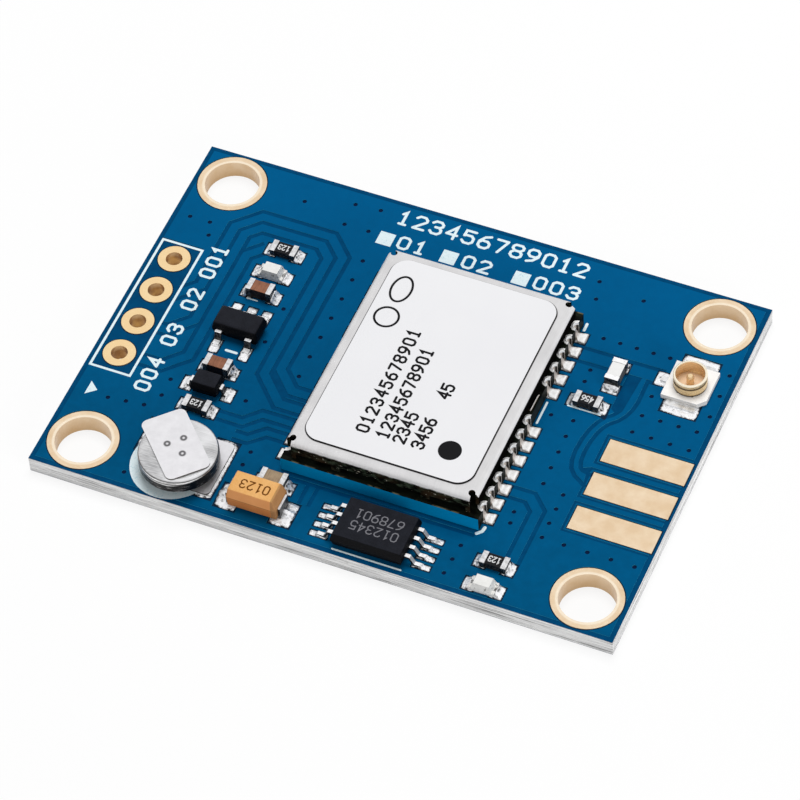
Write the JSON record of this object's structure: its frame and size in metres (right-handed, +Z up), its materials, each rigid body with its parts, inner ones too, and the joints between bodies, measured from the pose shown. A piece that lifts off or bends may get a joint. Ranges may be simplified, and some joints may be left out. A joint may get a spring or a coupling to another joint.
{
  "type": "gps module",
  "caption": "Small blue circuit board with a shielded satellite positioning receiver, backup cell, memory chip, coaxial antenna socket, gold edge pads and plated mounting holes.",
  "frame": {"origin": "centre of the board's underside", "axes": "+X along the board's long side towards the antenna pads, +Y towards the back edge, +Z up out of the populated face"},
  "size_m": [0.036, 0.0254, 0.0037],
  "materials": {
    "laminate": "milled edge of glass-fibre laminate",
    "lacquer": "satin lacquer over copper",
    "gold": "gold plated copper",
    "solder": "bright solder",
    "receiver_laminate": "lacquered laminate",
    "moulding": "moulded resin",
    "lid_metal": "plated lid",
    "ceramic": "fired ceramic",
    "grey_ceramic": "fired ceramic",
    "white_ceramic": "fired ceramic",
    "shield_metal": "tinned sheet",
    "label": "printed film",
    "cell_metal": "drawn sheet",
    "gasket": "moulded seal",
    "tab_metal": "welded strip",
    "tantalum": "moulded resin",
    "tin": "tin plated",
    "insulator": "moulded resin",
    "contact_metal": "gold plated",
    "resistor": "glazed top on ceramic",
    "lamp_carrier": "white laminate",
    "lens": "milky resin"
  },
  "bodies": {
    "root": {"antenna_ground_pads": "gold", "antenna_signal_pad": "gold", "capacitor_1_body": "ceramic", "capacitor_1_ends": "tin", "capacitor_2_body": "ceramic", "capacitor_2_ends": "tin", "capacitor_3_body": "grey_ceramic", "capacitor_3_ends": "tin", "cell_bottom_tab": "tab_metal", "cell_can": "cell_metal", "cell_cap": "cell_metal", "cell_gasket": "gasket", "cell_top_tab": "tab_metal", "coax_base": "insulator", "coax_pin": "contact_metal", "coax_shell": "contact_metal", "corner_eyelet_1": "gold", "corner_eyelet_2": "gold", "corner_eyelet_3": "gold", "corner_eyelet_4": "gold", "diode_body": "moulding", "diode_leads": "tin", "header_eyelet_1": "gold", "header_eyelet_2": "gold", "header_eyelet_3": "gold", "header_eyelet_4": "gold", "inductor_body": "white_ceramic", "inductor_ends": "tin", "laminate": "laminate", "lamp_1_carrier": "lamp_carrier", "lamp_1_lens": "lens", "lamp_2_carrier": "lamp_carrier", "lamp_2_lens": "lens", "memory_body": "moulding", "memory_leads": "tin", "receiver_board": "receiver_laminate", "receiver_chip": "moulding", "receiver_filter": "ceramic", "receiver_label": "label", "receiver_oscillator": "lid_metal", "receiver_shield": "shield_metal", "receiver_solder": "solder", "receiver_terminals": "gold", "regulator_body": "moulding", "regulator_leads": "tin", "resistor_1_body": "resistor", "resistor_1_ends": "tin", "resistor_2_body": "resistor", "resistor_2_ends": "tin", "resistor_3_body": "resistor", "resistor_3_ends": "tin", "resistor_4_body": "resistor", "resistor_4_ends": "tin", "solder_lands": "solder", "solder_mask_bottom": "lacquer", "solder_mask_top": "lacquer", "tantalum_body": "tantalum", "tantalum_leads": "tin"}
  },
  "joints": []
}
